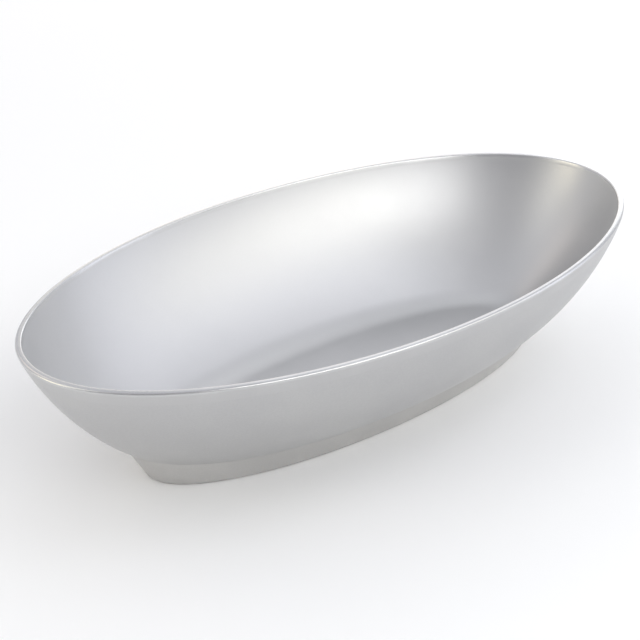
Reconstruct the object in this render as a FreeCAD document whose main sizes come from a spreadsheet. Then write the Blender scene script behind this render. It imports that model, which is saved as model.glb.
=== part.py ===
import FreeCAD, Part
import os
import re

# Oval sauce boat in silver-coloured metal, millimetres, +Z up.
# The origin is the middle of the foot's underside, on the table. X runs along the bowl.
#
# Every level of the piece is an ellipse. The wall follows a circular arc: going down from
# the lip, the long half axis shrinks along that arc, and the short one by a fixed share of it.
# A level is named by the wall's slope there, so the outside, the inside and the rebate in
# the wall's edge are the same arc at different depths in the metal.

DRIVING = [
    ("rim_length", 220.8),        # across the lip's outer edge before it is rounded, along X
    ("rim_width", 131.3),         # the same along Y; the rounding takes 0.4 off each side
    ("full_height", 49.4),        # table to the top of the lip
    ("wall_radius", 84.5),        # the arc that the outside of the wall follows
    ("rim_slope", 70.0),          # steepness of the wall at the lip, degrees
    ("side_share", 1.02),         # inset of the sides per millimetre of inset at the ends
    ("skin", 2.1),                # thickness of the wall and floor
    ("floor_level", 7.1),         # table to the flat floor inside
    ("floor_round", 20.0),        # inside radius between floor and wall
    ("base_round", 12.0),         # outside radius there
    ("wire_depth", 4.6),          # rim wire, top to lower edge
    ("cap_depth", 1.6),           # rim wire above the wall's edge
    ("tongue", 1.05),             # thickness of the wall's edge inside the rim wire
    ("lip_round_outer", 0.9),     # rounding of the lip, outside
    ("lip_round_inner", 0.4),     # rounding of the lip, inside
    ("foot_length", 152.6),       # foot at the table, outside, along X
    ("foot_width", 56.0),         # foot at the table, outside, along Y
    ("neck_length", 160.2),       # the foot's side carried up to neck_level, along X
    ("neck_width", 64.2),         # the foot's side carried up to neck_level, along Y
    ("neck_level", 7.2),          # where those two are taken; the wall cuts the foot off above it
    ("foot_skin", 2.4),           # thickness of the foot ring
    ("foot_round", 0.8),          # rounding of the foot's lower edges
    ("foot_reach", 14.0),         # table to above the highest point of the foot
    ("seam_size", 1.2),           # solder seam: how far it stands off the wall and off the foot
]

RIM_STEPS = 3                     # stretches of arc between the levels of a rim piece
WALL_STEPS = 6                    # and of the whole wall
OVERRUN = 1.0                     # how far a cutting shape runs past what it cuts

doc = FreeCAD.newDocument("SauceBoat")
sheet = doc.addObject("Spreadsheet::Sheet", "Sizes")
for row, (alias, value) in enumerate(DRIVING, start=1):
    sheet.set(f"A{row}", alias)
    sheet.set(f"B{row}", str(value))
    sheet.setAlias(f"B{row}", alias)
doc.recompute()


def size(alias):
    return float(sheet.get(alias))


def bound(text):
    """The expression in which every alias is read from the sheet."""
    aliases = "|".join(alias for alias, value in DRIVING)
    return re.sub(rf"\b({aliases})\b", r"Sizes.\1", text)


def ellipse(name, long_half, short_half, level):
    curve = doc.addObject("Part::Ellipse", name)
    curve.setExpression("MajorRadius", bound(long_half))
    curve.setExpression("MinorRadius", bound(short_half))
    curve.setExpression("Placement.Base.z", bound(level))
    return curve


def loft(name, curves, ruled):
    form = doc.addObject("Part::Loft", name)
    form.Sections = curves
    form.Solid = True
    form.Ruled = ruled
    return form


def arc_level(name, depth, slope):
    """One level of the surface at this depth in the metal, where the wall has this slope."""
    inset = f"wall_radius * (sin(rim_slope * 1 deg) - sin({slope}))"
    sunk = f"({depth}) * sin({slope})"
    centre_level = "full_height + wall_radius * cos(rim_slope * 1 deg)"
    return ellipse(
        name,
        f"rim_length / 2 - {inset} - {sunk}",
        f"rim_width / 2 - side_share * {inset} - {sunk}",
        f"{centre_level} - (wall_radius - ({depth})) * cos({slope})",
    )


def slope_at(depth, level):
    """Slope of the wall where the surface at this depth in the metal has this level."""
    below_centre = f"full_height + wall_radius * cos(rim_slope * 1 deg) - ({level})"
    return f"acos(({below_centre}) / (wall_radius - ({depth})))"


def arc_form(name, depth, low, high, steps):
    """Solid inside the wall's arc, at this depth in the metal, between two levels."""
    curves = []
    for step in range(steps + 1):
        share = step / steps
        slope = f"({slope_at(depth, low)} * {1 - share:.4f} + {slope_at(depth, high)} * {share:.4f})"
        curves.append(arc_level(f"{name}_{step}", depth, slope))
    return loft(name, curves, ruled=False)


def foot_level(name, inward, level):
    """One level of the foot's leaning side, moved inwards."""
    lean = f"({level}) / neck_level"
    return ellipse(
        name,
        f"foot_length / 2 + (neck_length - foot_length) / 2 * {lean} - ({inward})",
        f"foot_width / 2 + (neck_width - foot_width) / 2 * {lean} - ({inward})",
        level,
    )


def foot_form(name, inward, low, high):
    """Solid inside the foot's leaning side, moved inwards, between two levels."""
    ends = [foot_level(f"{name}_low", inward, low), foot_level(f"{name}_high", inward, high)]
    return loft(name, ends, ruled=True)


def cut(name, base, tool):
    result = doc.addObject("Part::Cut", name)
    result.Base = base
    result.Tool = tool
    return result


def common(name, base, tool):
    result = doc.addObject("Part::Common", name)
    result.Base = base
    result.Tool = tool
    return result


def fuse(name, base, tool):
    result = doc.addObject("Part::Fuse", name)
    result.Base = base
    result.Tool = tool
    return result


def level_edges(shape, level):
    """Numbers of the closed edges that lie flat at this level, widest first."""
    found = []
    for number, edge in enumerate(shape.Edges, start=1):
        box = edge.BoundBox
        if abs(box.ZMin - level) < 0.01 and abs(box.ZMax - level) < 0.01:
            found.append((box.XLength, number))
    return [number for length, number in sorted(found, reverse=True)]


def fillet(name, base, rounds):
    """Round edges of a shape: rounds lists (edge number, radius)."""
    result = doc.addObject("Part::Fillet", name)
    result.Base = base
    result.Edges = [(number, radius, radius) for number, radius in rounds]
    doc.recompute()
    return result


# The two surfaces of the sheet that the bowl is raised from: its outside below the rim wire,
# and the hollow inside. Both turn into a flat floor through a round.
outside_sharp = arc_form(
    "OutsideSharp", "0", "floor_level - skin", "full_height - wire_depth", WALL_STEPS)
hollow_sharp = arc_form("HollowSharp", "skin", "floor_level", f"full_height + {OVERRUN}", WALL_STEPS)
doc.recompute()
underside = level_edges(outside_sharp.Shape, size("floor_level") - size("skin"))
outside = fillet("Outside", outside_sharp, [(underside[0], size("base_round"))])
floor_edge = level_edges(hollow_sharp.Shape, size("floor_level"))
hollow = fillet("Hollow", hollow_sharp, [(floor_edge[0], size("floor_round"))])

# The bowl: above the rebate only the inner part of the sheet goes on, as a tongue.
tongue = arc_form(
    "Tongue", "skin - tongue", f"full_height - wire_depth - {OVERRUN}",
    "full_height - cap_depth", RIM_STEPS)
bowl = cut("Bowl", fuse("BowlBlank", outside, tongue), hollow)
bowl.Label = "bowl"

# The rim wire caps the tongue and fills the rebate, flush with the wall on both sides.
wire_blank = arc_form("WireBlank", "0", "full_height - wire_depth", "full_height", RIM_STEPS)
wire_sharp = cut("WireSharp", cut("WireRing", wire_blank, hollow), tongue)
doc.recompute()
lip_edges = level_edges(wire_sharp.Shape, size("full_height"))
rim_wire = fillet("RimWire", wire_sharp, [
    (lip_edges[0], size("lip_round_outer")),
    (lip_edges[-1], size("lip_round_inner")),
])
rim_wire.Label = "rim_wire"

# The foot: an oval band that leans outwards, more at its ends than at its sides. Its top is
# fitted to the underside of the bowl, so the crease between the two rises towards the ends.
foot_side = foot_form("FootSide", "0", "0", "foot_reach")
foot_bore = foot_form("FootBore", "foot_skin", f"-{OVERRUN}", "foot_reach")
foot_sharp = cut("FootSharp", cut("FootBand", foot_side, foot_bore), outside)
doc.recompute()
rounds = [(number, size("foot_round")) for number in level_edges(foot_sharp.Shape, 0.0)]
foot_ring = fillet("FootRing", foot_sharp, rounds)
foot_ring.Label = "foot_ring"

# The solder seam runs along the corner between the foot's inside and the bowl's underside.
seam_bed = arc_form(
    "SeamBed", "-seam_size", "floor_level - skin - seam_size", f"foot_reach + {OVERRUN}", RIM_STEPS)
seam_outer = foot_form("SeamOuter", "foot_skin", "0", "foot_reach")
seam_inner = foot_form("SeamInner", "foot_skin + seam_size", f"-{OVERRUN}", f"foot_reach + {OVERRUN}")
seam_run = common("SeamRun", cut("SeamBand", seam_outer, seam_inner), seam_bed)
foot_seam = cut("FootSeam", seam_run, outside)
foot_seam.Label = "foot_seam"

SUB_PARTS = [bowl, rim_wire, foot_ring, foot_seam]

for part in SUB_PARTS:
    part.Placement = FreeCAD.Placement()
doc.recompute()

for thing in doc.Objects:
    if "Invalid" in thing.State or "Error" in thing.State:
        raise RuntimeError(f"{thing.Name} failed: {thing.State}")
for part in SUB_PARTS:
    if part.Shape.isNull() or not part.Shape.isValid() or len(part.Shape.Solids) != 1:
        raise RuntimeError(f"{part.Label} is not one valid solid")

os.makedirs("parts", exist_ok=True)
for part in SUB_PARTS:
    part.Shape.exportStep(f"parts/{part.Label}.step")
    box = part.Shape.BoundBox
    print(f"{part.Label}: {box.XLength:.1f} x {box.YLength:.1f} x {box.ZLength:.1f} mm,"
          f" {part.Shape.Volume / 1000:.1f} cm3")
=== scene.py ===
import bpy
import math
from mathutils import Matrix, Vector


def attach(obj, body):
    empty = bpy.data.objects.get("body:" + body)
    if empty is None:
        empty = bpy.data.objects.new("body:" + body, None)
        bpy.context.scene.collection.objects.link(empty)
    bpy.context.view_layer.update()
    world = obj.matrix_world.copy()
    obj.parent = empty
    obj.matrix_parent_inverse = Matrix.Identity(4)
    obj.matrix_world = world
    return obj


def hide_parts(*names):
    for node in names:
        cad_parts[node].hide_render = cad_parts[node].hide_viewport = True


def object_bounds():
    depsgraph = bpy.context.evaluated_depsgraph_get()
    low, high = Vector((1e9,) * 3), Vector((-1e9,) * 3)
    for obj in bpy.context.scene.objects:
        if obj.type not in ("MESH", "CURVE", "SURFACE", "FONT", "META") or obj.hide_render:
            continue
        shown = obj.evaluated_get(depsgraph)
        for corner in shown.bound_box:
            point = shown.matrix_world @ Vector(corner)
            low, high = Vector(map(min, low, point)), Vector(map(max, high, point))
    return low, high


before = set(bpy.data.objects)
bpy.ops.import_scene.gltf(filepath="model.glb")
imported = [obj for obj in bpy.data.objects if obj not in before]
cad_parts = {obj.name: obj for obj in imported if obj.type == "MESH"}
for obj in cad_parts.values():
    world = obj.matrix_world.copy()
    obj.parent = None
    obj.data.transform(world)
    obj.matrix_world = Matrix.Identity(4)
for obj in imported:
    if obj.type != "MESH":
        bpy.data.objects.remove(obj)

cadLow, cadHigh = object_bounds()
print("frame loaded:", len(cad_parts), "nodes")

# The boat is oval at every level. Seen from the side its wall is an arc, and a level on the
# wall is named by how steep the wall is there. Sizes are in metres, angles in degrees.
wall = {
    "rimLong": 0.1104,        # half length across the lip before it is rounded
    "rimShort": 0.06565,      # half width of the same
    "topLevel": cadHigh.z,
    "arcRadius": 0.0845,
    "rimSlope": 70.0,
    "sideShare": 1.02,        # how far the sides come in while the ends come in by 1
    "skin": 0.0021,           # thickness of the metal
    "floorLevel": 0.0071,
    "floorRound": 0.020,      # radius between floor and wall, inside
    "baseRound": 0.012,       # and outside
    "around": 288,            # points round each oval
    "wallSteps": 40,
    "roundSteps": 14,
    "flatShares": [0.985, 0.8, 0.5, 0.2],   # rings on the flat floor, as shares of its size
}
rim = {
    "wireDepth": 0.0046,      # top of the lip to the wire's lower edge
    "capDepth": 0.0016,       # metal over the wall's edge
    "tongue": 0.00105,        # thickness of the wall's edge inside the wire
    "outerRound": 0.0009,
    "innerRound": 0.0004,
    "plain": 0.0016,          # the strip below the lip's edge that the rounding is cut from
    "steps": 5,
    "roundSteps": 6,
}
foot = {
    "tableLong": 0.0763,      # half length at the table
    "tableShort": 0.0280,
    "neckLong": 0.0801,       # half length of the leaning side at the neck level
    "neckShort": 0.0321,
    "neckLevel": 0.0072,
    "reach": 0.014,           # above its highest point, before it is fitted to the bowl
    "skin": 0.0024,
    "edgeRound": 0.0008,
    "roundSteps": 5,
    "steps": 14,
    "seamSize": 0.0012,       # how far the solder stands off the wall and off the foot
    "cutTop": 0.020,          # the solids that the foot and the solder are cut with end up here
    "cutSteps": 16,
}
mergeWithin = 0.000002        # points closer than this are one point
onOvalWithin = 0.00002        # how far a point may be from an oval and still count as on it
smoothAngle = 32


def wallLevel(depth, slope):
    # half length, half width and height of the surface this deep in the metal
    rimAngle = math.radians(wall["rimSlope"])
    angle = math.radians(slope)
    inset = wall["arcRadius"] * (math.sin(rimAngle) - math.sin(angle))
    sunk = depth * math.sin(angle)
    height = wall["topLevel"] + wall["arcRadius"] * math.cos(rimAngle)
    height -= (wall["arcRadius"] - depth) * math.cos(angle)
    return (wall["rimLong"] - inset - sunk, wall["rimShort"] - wall["sideShare"] * inset - sunk, height)


def slopeAt(depth, height):
    top = wall["topLevel"] + wall["arcRadius"] * math.cos(math.radians(wall["rimSlope"]))
    return math.degrees(math.acos((top - height) / (wall["arcRadius"] - depth)))


def wallRun(depth, low, high, steps):
    # levels of the wall from low to high, evenly spaced by slope
    slopeLow = slopeAt(depth, low)
    slopeHigh = slopeAt(depth, high)
    return [wallLevel(depth, slopeLow + (slopeHigh - slopeLow) * i / steps) for i in range(steps + 1)]


def floorRun(depth, radius):
    # from the middle of the flat floor out over the round to where the wall starts
    level = wall["floorLevel"] - wall["skin"] + depth
    meet = slopeAt(depth + radius, level + radius)
    meetLong, meetShort, meetLevel = wallLevel(depth, meet)
    widen = (wall["sideShare"] * wall["arcRadius"] - depth) / (wall["arcRadius"] - depth)
    levels = []
    for i in range(wall["roundSteps"]):
        angle = math.radians(meet) * i / wall["roundSteps"]
        back = radius * (math.sin(math.radians(meet)) - math.sin(angle))
        levels.append((meetLong - back, meetShort - widen * back, level + radius * (1 - math.cos(angle))))
    flatLong, flatShort, flatLevel = levels[0]
    flat = [(flatLong * share, flatShort * share, flatLevel) for share in reversed(wall["flatShares"])]
    return flat + levels, meetLevel


def footLevel(inward, height):
    lean = height / foot["neckLevel"]
    longHalf = foot["tableLong"] + (foot["neckLong"] - foot["tableLong"]) * lean - inward
    shortHalf = foot["tableShort"] + (foot["neckShort"] - foot["tableShort"]) * lean - inward
    return (longHalf, shortHalf, height)


def footRun(inward, low, high):
    steps = foot["steps"]
    return [footLevel(inward, low + (high - low) * i / steps) for i in range(steps + 1)]


def deselectAll():
    bpy.ops.object.select_all(action="DESELECT")


def ovalPiece(name, levels, ring):
    # one oval at the first level, extruded from level to level, then closed
    deselectAll()
    longHalf, shortHalf, height = levels[0]
    bpy.ops.mesh.primitive_circle_add(
        vertices=wall["around"], radius=longHalf, fill_type="NOTHING", location=(0, 0, height))
    piece = bpy.context.object
    piece.name = name
    piece.data.name = name
    bpy.ops.object.transform_apply(location=True, rotation=True, scale=True)
    bpy.ops.object.mode_set(mode="EDIT")
    bpy.ops.mesh.select_all(action="SELECT")
    bpy.ops.transform.resize(value=(1, shortHalf / longHalf, 1), center_override=(0, 0, 0))
    for nextLong, nextShort, nextHeight in levels[1:]:
        bpy.ops.mesh.extrude_edges_move()
        bpy.ops.transform.resize(
            value=(nextLong / longHalf, nextShort / shortHalf, 1), center_override=(0, 0, 0))
        bpy.ops.transform.translate(value=(0, 0, nextHeight - height))
        longHalf, shortHalf, height = nextLong, nextShort, nextHeight
    bpy.ops.mesh.select_all(action="SELECT")
    if ring:
        bpy.ops.mesh.remove_doubles(threshold=mergeWithin)
    else:
        bpy.ops.mesh.fill_holes(sides=0)
    bpy.ops.mesh.select_all(action="SELECT")
    bpy.ops.mesh.normals_make_consistent(inside=False)
    bpy.ops.mesh.select_all(action="DESELECT")
    bpy.ops.object.mode_set(mode="OBJECT")
    return piece


def roundEdge(piece, level, width, steps):
    # rounds the ring of edges that lies on this oval
    longHalf, shortHalf, height = level
    onRing = set()
    for vertex in piece.data.vertices:
        spread = math.hypot(vertex.co.x / longHalf, vertex.co.y / shortHalf)
        offLevel = abs(vertex.co.z - height)
        offOval = abs(spread - 1) * shortHalf
        if offLevel < onOvalWithin and offOval < onOvalWithin:
            onRing.add(vertex.index)
    for face in piece.data.polygons:
        face.select = False
    for vertex in piece.data.vertices:
        vertex.select = vertex.index in onRing
    for edge in piece.data.edges:
        edge.select = edge.vertices[0] in onRing and edge.vertices[1] in onRing
    bpy.context.view_layer.objects.active = piece
    bpy.ops.object.mode_set(mode="EDIT")
    bpy.ops.mesh.select_mode(type="EDGE")
    bpy.ops.mesh.bevel(offset=width, offset_type="OFFSET", segments=steps, profile=0.5, affect="EDGES")
    bpy.ops.mesh.select_all(action="DESELECT")
    bpy.ops.object.mode_set(mode="OBJECT")


def smooth(piece):
    deselectAll()
    piece.select_set(True)
    bpy.context.view_layer.objects.active = piece
    bpy.ops.object.shade_smooth_by_angle(angle=math.radians(smoothAngle))
    piece.select_set(False)


def bowlLevels():
    top = wall["topLevel"]
    shoulder = top - rim["wireDepth"]
    edge = top - rim["capDepth"]
    outside, outsideStart = floorRun(0, wall["baseRound"])
    outside += wallRun(0, outsideStart, shoulder, wall["wallSteps"])
    tongueDepth = wall["skin"] - rim["tongue"]
    tongue = wallRun(tongueDepth, shoulder, edge, 2)
    inside, insideStart = floorRun(wall["skin"], wall["floorRound"])
    inside += wallRun(wall["skin"], insideStart, edge, wall["wallSteps"])
    return outside + tongue + inside[::-1]


def rimLevels():
    top = wall["topLevel"]
    shoulder = top - rim["wireDepth"]
    edge = top - rim["capDepth"]
    tongueDepth = wall["skin"] - rim["tongue"]
    outside = wallRun(0, shoulder, top - rim["plain"], rim["steps"]) + [wallLevel(0, wall["rimSlope"])]
    inside = wallRun(wall["skin"], edge, top, 3)
    rebate = wallRun(tongueDepth, shoulder, edge, 2)
    return outside + inside[::-1] + rebate[::-1] + outside[:1]


def band(name, near, far):
    # ring of the foot's leaning side between two distances inward from it
    outside = footRun(near, 0, foot["reach"])
    inside = footRun(far, 0, foot["reach"])
    return ovalPiece(name, outside + inside[::-1] + outside[:1], ring=True)


def trim(piece, name, levels, operation):
    # cut a piece with, or keep what it shares with, a solid oval form
    form = ovalPiece(name, levels, ring=False)
    bpy.context.view_layer.objects.active = piece
    cutter = piece.modifiers.new(name, "BOOLEAN")
    cutter.operation = operation
    cutter.solver = "EXACT"
    cutter.object = form
    bpy.ops.object.modifier_apply(modifier=name)
    bpy.data.objects.remove(form)


bowl = ovalPiece("bowlShell", bowlLevels(), ring=False)
smooth(bowl)
print("bowl:", len(bowl.data.polygons), "faces")

rimWire = ovalPiece("rimWire", rimLevels(), ring=True)
outerCorner = wallLevel(0, wall["rimSlope"])
innerCorner = wallRun(wall["skin"], wall["floorLevel"], wall["topLevel"], 1)[1]
outerReach = rim["outerRound"] / math.tan(math.radians(wall["rimSlope"] / 2))
innerReach = rim["innerRound"] / math.tan(math.radians(90 - wall["rimSlope"] / 2))
roundEdge(rimWire, outerCorner, outerReach, rim["roundSteps"])
roundEdge(rimWire, innerCorner, innerReach, rim["roundSteps"])
smooth(rimWire)
print("rim wire:", len(rimWire.data.polygons), "faces")

# the foot's top is fitted to the bowl's underside, so it is higher at the ends
underside, undersideStart = floorRun(0, wall["baseRound"])
underside += wallRun(0, undersideStart, foot["cutTop"], foot["cutSteps"])
footRing = band("footRing", 0, foot["skin"])
roundEdge(footRing, footLevel(0, 0), foot["edgeRound"], foot["roundSteps"])
roundEdge(footRing, footLevel(foot["skin"], 0), foot["edgeRound"], foot["roundSteps"])
trim(footRing, "footTop", underside, "DIFFERENCE")
smooth(footRing)
seamBedLow = wall["floorLevel"] - wall["skin"] - foot["seamSize"]
seamBed = wallRun(-foot["seamSize"], seamBedLow, foot["cutTop"], foot["cutSteps"])
footSeam = band("footSeam", foot["skin"], foot["skin"] + foot["seamSize"])
trim(footSeam, "seamBed", seamBed, "INTERSECT")
trim(footSeam, "seamTop", underside, "DIFFERENCE")
smooth(footSeam)
print("foot:", len(footRing.data.polygons), "faces; seam:", len(footSeam.data.polygons), "faces")

# Finishes. A pattern's size is given in millimetres and read from Object coordinates.


def addNode(tree, kind, values=None, **settings):
    made = tree.nodes.new(kind)
    for key, value in settings.items():
        setattr(made, key, value)
    for key, value in (values or {}).items():
        made.inputs[key].default_value = value
    return made


def link(tree, source, socket, target, name):
    tree.links.new(source.outputs[socket], target.inputs[name])


patternRoughness = 0.6
patchFrom, patchTo = 0.35, 0.65     # the stretch of a noise that is used for patches of tone
middleFrom, middleTo = 0.3, 0.7     # and for everything else


def noise(tree, coords, sizeMm, detail, stretch=(1, 1, 1)):
    mapping = addNode(tree, "ShaderNodeMapping")
    mapping.inputs["Scale"].default_value = [1000 * s / sizeMm for s in stretch]
    texture = addNode(tree, "ShaderNodeTexNoise", {
        "Scale": 1.0, "Detail": detail, "Roughness": patternRoughness})
    link(tree, coords, "Object", mapping, "Vector")
    link(tree, mapping, "Vector", texture, "Vector")
    return texture


def spread(tree, source, socket, low, high, outLow, outHigh):
    made = addNode(tree, "ShaderNodeMapRange", {
        "From Min": low, "From Max": high, "To Min": outLow, "To Max": outHigh})
    made.interpolation_type = "SMOOTHSTEP"
    link(tree, source, socket, made, "Value")
    return made


def combine(tree, operation, first, second):
    made = addNode(tree, "ShaderNodeMath", operation=operation)
    for index, item in enumerate((first, second)):
        if isinstance(item, (int, float)):
            made.inputs[index].default_value = item
        else:
            tree.links.new(item.outputs[0], made.inputs[index])
    return made


def silver(name, look):
    # satin or polished metal: patchy tone, patchy roughness, grain, drawn scratches
    material = bpy.data.materials.new(name)
    material.use_nodes = True
    tree = material.node_tree
    tree.nodes.clear()
    out = addNode(tree, "ShaderNodeOutputMaterial")
    metal = addNode(tree, "ShaderNodeBsdfPrincipled", {"Metallic": 1.0})
    link(tree, metal, "BSDF", out, "Surface")
    coords = addNode(tree, "ShaderNodeTexCoord")

    patches = noise(tree, coords, look["patchSize"], 3.0)
    tone = addNode(tree, "ShaderNodeMix", data_type="RGBA")
    tone.inputs["A"].default_value = (*look["deepTone"], 1)
    tone.inputs["B"].default_value = (*look["tone"], 1)
    patchShare = spread(tree, patches, "Fac", patchFrom, patchTo, 0, 1)
    link(tree, patchShare, "Result", tone, "Factor")
    link(tree, tone, "Result", metal, "Base Color")

    grain = noise(tree, coords, look["grainSize"], 2.0)
    scratch = noise(tree, coords, look["scratchSize"], 2.0, look["scratchRun"])
    roughPatches = spread(tree, patches, "Fac", middleFrom, middleTo, look["rough"][0], look["rough"][1])
    roughGrain = spread(tree, grain, "Fac", middleFrom, middleTo, -look["roughGrain"], look["roughGrain"])
    rough = combine(tree, "ADD", roughPatches, roughGrain)
    if "buffed" in look:
        rough = buffedEdge(tree, coords, rough, look["buffed"])
    tree.links.new(rough.outputs[0], metal.inputs["Roughness"])

    height = combine(tree, "ADD", combine(tree, "MULTIPLY", grain, look["grainHeight"]),
                     combine(tree, "MULTIPLY", scratch, look["scratchHeight"]))
    waves = noise(tree, coords, look["waveSize"], 1.0)
    height = combine(tree, "ADD", height, combine(tree, "MULTIPLY", waves, look["waveHeight"]))
    bump = addNode(tree, "ShaderNodeBump", {"Strength": 1.0, "Distance": 0.001})
    tree.links.new(height.outputs[0], bump.inputs["Height"])
    link(tree, bump, "Normal", metal, "Normal")
    return material


def buffedEdge(tree, coords, rough, look):
    # polished from the lip down to an uneven lower line, where the buffing wheel stopped
    split = addNode(tree, "ShaderNodeSeparateXYZ")
    link(tree, coords, "Object", split, "Vector")
    level = addNode(tree, "ShaderNodeMath", operation="ADD")
    link(tree, split, "Z", level, 0)
    uneven = noise(tree, coords, look["unevenSize"], 2.0)
    sway = spread(tree, uneven, "Fac", middleFrom, middleTo, -look["sway"], look["sway"])
    tree.links.new(sway.outputs[0], level.inputs[1])
    share = addNode(tree, "ShaderNodeMapRange", {
        "From Min": look["level"] - look["fade"], "From Max": look["level"] + look["fade"]})
    tree.links.new(level.outputs[0], share.inputs["Value"])
    mixed = addNode(tree, "ShaderNodeMix", {"B": look["rough"]}, data_type="FLOAT")
    tree.links.new(share.outputs[0], mixed.inputs["Factor"])
    tree.links.new(rough.outputs[0], mixed.inputs["A"])
    return mixed


finishes = {
    "satinInside": {
        "tone": (0.592, 0.592, 0.598), "deepTone": (0.568, 0.569, 0.575), "patchSize": 40,
        "rough": (0.40, 0.44), "roughGrain": 0.03, "grainSize": 0.5, "grainHeight": 0.006,
        "scratchSize": 0.6, "scratchRun": (0.05, 1, 1), "scratchHeight": 0.003,
        "waveSize": 25, "waveHeight": 0.04,
    },
    "satinOutside": {
        "tone": (0.592, 0.592, 0.592), "deepTone": (0.566, 0.566, 0.570), "patchSize": 25,
        "rough": (0.49, 0.55), "roughGrain": 0.05, "grainSize": 0.6, "grainHeight": 0.012,
        "scratchSize": 0.5, "scratchRun": (0.08, 1, 1), "scratchHeight": 0.004,
        "waveSize": 20, "waveHeight": 0.05,
    },
    "polishedRim": {
        "tone": (0.600, 0.600, 0.602), "deepTone": (0.575, 0.575, 0.578), "patchSize": 15,
        "rough": (0.48, 0.54), "roughGrain": 0.03, "grainSize": 0.5, "grainHeight": 0.003,
        "scratchSize": 0.3, "scratchRun": (0.06, 1, 1), "scratchHeight": 0.001,
        "waveSize": 12, "waveHeight": 0.01,
        "buffed": {"level": 0.0484, "fade": 0.0005, "rough": 0.27, "sway": 0.0002, "unevenSize": 9},
    },
    # painted light: the foot is the same metal as the bowl, but its tone is set lighter and warmer to
    # stand in for light thrown up onto it from a bright floor
    "satinFootPaintedLight": {
        "tone": (0.645, 0.639, 0.630), "deepTone": (0.610, 0.605, 0.598), "patchSize": 18,
        "rough": (0.48, 0.55), "roughGrain": 0.05, "grainSize": 0.5, "grainHeight": 0.010,
        "scratchSize": 0.4, "scratchRun": (0.08, 1, 1), "scratchHeight": 0.004,
        "waveSize": 15, "waveHeight": 0.03,
    },
    "dressedSolder": {
        "tone": (0.55, 0.55, 0.55), "deepTone": (0.49, 0.49, 0.495), "patchSize": 6,
        "rough": (0.44, 0.58), "roughGrain": 0.06, "grainSize": 0.35, "grainHeight": 0.02,
        "scratchSize": 0.3, "scratchRun": (0.2, 1, 1), "scratchHeight": 0.01,
        "waveSize": 5, "waveHeight": 0.05,
    },
}
materials = {name: silver(name, look) for name, look in finishes.items()}


def paint(piece, *names):
    for name in names:
        piece.data.materials.append(materials[name])


paint(bowl, "satinOutside", "satinInside")
# a face is inside when it looks towards the middle, and a flat one when it looks up
middleReach = 0.001
downward = -0.001
for face in bowl.data.polygons:
    centre = face.center
    outward = Vector((centre.x / wall["rimLong"] ** 2, centre.y / wall["rimShort"] ** 2, downward))
    atMiddle = math.hypot(centre.x, centre.y) < middleReach
    inside = face.normal.z > 0 if atMiddle else face.normal.dot(outward) < 0
    face.material_index = 1 if inside else 0
paint(rimWire, "polishedRim")
paint(footRing, "satinFootPaintedLight")
paint(footSeam, "dressedSolder")

for piece, node, slotName in (
    (bowl, "bowl", "satin_bowl"),
    (rimWire, "rim_wire", "polished_rim"),
    (footRing, "foot_ring", "satin_foot"),
    (footSeam, "foot_seam", "solder"),
):
    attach(piece, "root")
    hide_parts(node)
print("finishes on")

# The studio: a pale floor and a ring of soft lights
studio = {
    "floorSize": 6.0,
    "floorTone": (0.97, 0.97, 0.97),
    "floorDeepShare": 0.985,                # its deeper patches, as a share of the tone
    "floorPatchSize": 400,
    "floorRough": 0.85,
    "skyTone": (0.76, 0.77, 0.81),
    "shadeTone": (0.49, 0.49, 0.51),        # the dimmer part of the room
    "shadeTowards": (220, 15),              # its middle, degrees round from +X and degrees up
    "shadeEdges": (62, 34),                 # degrees from there where it starts and is full
    "boxDistance": 1.2,
    "boxSize": 0.5,
}
# where each soft box stands, as degrees round from +X and degrees up, its watts and its tint
softBoxes = {
    "keyLeft": (255, 35, 1.95, (1.00, 1.00, 0.98)),
    "keyMiddle": (285, 35, 1.74, (1.00, 0.99, 0.91)),
    "keyRight": (315, 35, 0.72, (1.00, 0.97, 0.81)),
    "sideRight": (345, 35, 0.56, (0.86, 0.88, 1.00)),
    "sideLow": (330, 12, 0.69, (0.87, 0.90, 1.00)),
    "topRight": (315, 58, 0.76, (0.90, 0.92, 1.00)),
    "topBack": (45, 58, 0.26, (0.95, 1.00, 0.98)),
    "backRight": (45, 35, 0.51, (1.00, 0.98, 0.98)),
    "backLow": (30, 12, 1.3, (0.97, 1.00, 0.99)),
    "backLowLeft": (60, 12, 0.8, (1.00, 0.92, 0.77)),
    "backLeft": (105, 35, 0.51, (1.00, 0.83, 0.66)),
    "leftLow": (150, 12, 1.22, (1.00, 0.90, 0.62)),
    "leftHigh": (165, 35, 0.6, (1.00, 0.98, 0.85)),
}

deselectAll()
bpy.ops.mesh.primitive_plane_add(size=studio["floorSize"], location=(0, 0, 0))
floor = bpy.context.object
floor.name = "floor"
floorPaint = bpy.data.materials.new("paleFloor")
floorPaint.use_nodes = True
floorTree = floorPaint.node_tree
floorShader = floorTree.nodes["Principled BSDF"]
floorShader.inputs["Roughness"].default_value = studio["floorRough"]
floorCoords = addNode(floorTree, "ShaderNodeTexCoord")
floorNoise = noise(floorTree, floorCoords, studio["floorPatchSize"], 2.0)
floorMix = addNode(floorTree, "ShaderNodeMix", data_type="RGBA")
floorMix.inputs["A"].default_value = (*studio["floorTone"], 1)
floorDeepTone = [channel * studio["floorDeepShare"] for channel in studio["floorTone"]]
floorMix.inputs["B"].default_value = (*floorDeepTone, 1)
link(floorTree, floorNoise, "Fac", floorMix, "Factor")
link(floorTree, floorMix, "Result", floorShader, "Base Color")
floor.data.materials.append(floorPaint)

world = bpy.data.worlds.new("studioWorld")
bpy.context.scene.world = world
world.use_nodes = True
worldTree = world.node_tree
background = worldTree.nodes["Background"]
background.inputs["Strength"].default_value = 1.0


def towards(azimuth, climb):
    # unit arrow, degrees round from +X and degrees up
    across = math.radians(azimuth)
    up = math.radians(climb)
    return Vector((math.cos(across) * math.cos(up), math.sin(across) * math.cos(up), math.sin(up)))


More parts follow.
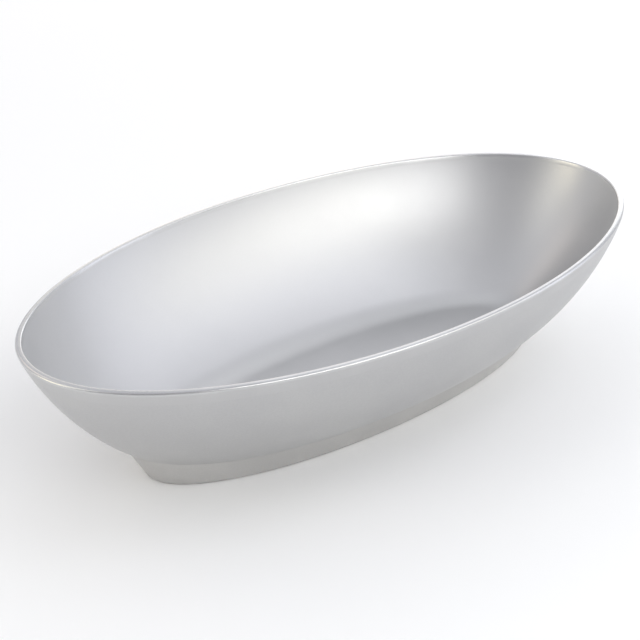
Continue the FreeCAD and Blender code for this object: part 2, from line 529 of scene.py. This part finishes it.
shadeCoords = addNode(worldTree, "ShaderNodeTexCoord")
shadeAim = addNode(worldTree, "ShaderNodeVectorMath", operation="DOT_PRODUCT")
link(worldTree, shadeCoords, "Generated", shadeAim, 0)
shadeAim.inputs[1].default_value = towards(*studio["shadeTowards"])
shadeStart, shadeFull = [math.cos(math.radians(angle)) for angle in studio["shadeEdges"]]
shadeShare = spread(worldTree, shadeAim, "Value", shadeStart, shadeFull, 0, 1)
shadeMix = addNode(worldTree, "ShaderNodeMix", data_type="RGBA")
shadeMix.inputs["A"].default_value = (*studio["skyTone"], 1)
shadeMix.inputs["B"].default_value = (*studio["shadeTone"], 1)
link(worldTree, shadeShare, "Result", shadeMix, "Factor")
link(worldTree, shadeMix, "Result", background, "Color")

for name, (azimuth, climb, power, tint) in softBoxes.items():
    place = towards(azimuth, climb) * studio["boxDistance"]
    bpy.ops.object.light_add(type="AREA", location=place)
    box = bpy.context.object
    box.name = name
    box.data.shape = "SQUARE"
    box.data.size = studio["boxSize"]
    box.data.energy = power
    box.data.color = tint
    box.rotation_euler = (-place).to_track_quat("-Z", "Y").to_euler()

view = {
    "azimuth": -36.28, "climb": 25.91, "distance": 0.5567, "lean": -4.007,
    "aside": -0.00713, "raise": 0.00211, "lens": 97.4,
}
turn = math.radians(view["azimuth"])
climb = math.radians(view["climb"])
backward = Vector((math.sin(turn) * math.cos(climb), -math.cos(turn) * math.cos(climb), math.sin(climb)))
sideways = Vector((math.cos(turn), math.sin(turn), 0))
upward = backward.cross(sideways)
lean = math.radians(view["lean"])
leanSide = sideways * math.cos(lean) + upward * math.sin(lean)
leanUp = upward * math.cos(lean) - sideways * math.sin(lean)
aim = Vector((0, 0, wall["topLevel"] / 2)) + leanSide * view["aside"] + leanUp * view["raise"]
bpy.ops.object.camera_add()
camera = bpy.context.object
camera.name = "viewCamera"
camera.data.lens = view["lens"]
camera.matrix_world = (
    Matrix.Translation(aim + backward * view["distance"])
    @ Matrix((leanSide, leanUp, backward)).transposed().to_4x4())
bpy.context.scene.camera = camera
bpy.context.scene.view_settings.view_transform = "Standard"
print("studio ready")
